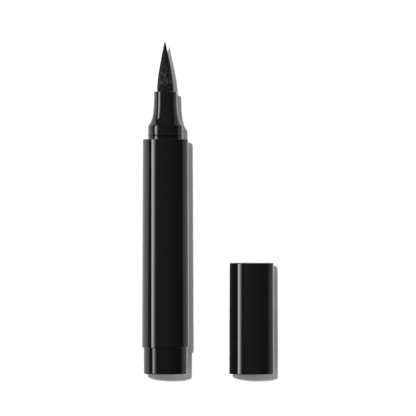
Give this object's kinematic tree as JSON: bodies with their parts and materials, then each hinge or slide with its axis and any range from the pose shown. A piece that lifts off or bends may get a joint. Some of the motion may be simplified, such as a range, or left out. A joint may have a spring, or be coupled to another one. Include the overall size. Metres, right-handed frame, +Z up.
{
  "type": "liquid eyeliner pen",
  "caption": "Felt-tip liquid eyeliner pen with a drafted black barrel, flared front section and pointed nib, its plain tubular cap pulled off and laid beside it.",
  "frame": {"origin": "on the table, under the middle of the box round the pen and its cap", "axes": "+Y along the pen from tail to nib, +X from the pen towards the cap, +Z up"},
  "size_m": [0.037, 0.093, 0.0132],
  "materials": {
    "gloss_black": "gloss black moulded plastic, lightly blasted",
    "black_felt": "bonded black fibre, dry and slightly fuzzy",
    "black_plastic": "plain black moulded plastic",
    "natural_plastic": "milky natural polypropylene",
    "fibre": "polyester fibre soaked with black liquid",
    "clear_film": "thin clear film",
    "black_rubber": "black rubber",
    "spring_steel": "drawn stainless wire"
  },
  "bodies": {
    "pen": {"nib": "black_felt", "front_section": "gloss_black", "nib_bush": "natural_plastic", "barrel": "gloss_black", "fibre_reservoir": "fibre", "reservoir_film": "clear_film", "breather_tube": "natural_plastic", "tail_plug": "gloss_black", "section_seal_ring": "black_rubber", "tail_seal_ring": "black_rubber"},
    "cap": {"cap_shell": "gloss_black", "cap_sleeve": "black_plastic", "inner_cap_spring": "spring_steel"},
    "inner_cap": {"inner_cap": "natural_plastic"}
  },
  "joints": [
    {"name": "cap_pull", "type": "slide", "parent": "pen", "child": "cap", "axis": [0, 1, 0], "range_m": [0, 0.0274]},
    {"name": "inner_cap_seal", "type": "slide", "parent": "cap", "child": "inner_cap", "axis": [0, 1, 0], "range_m": [0, 0.002], "stiffness_N_per_m": 500, "springref_m": -0.002, "deforming": ["inner_cap_spring"]}
  ]
}
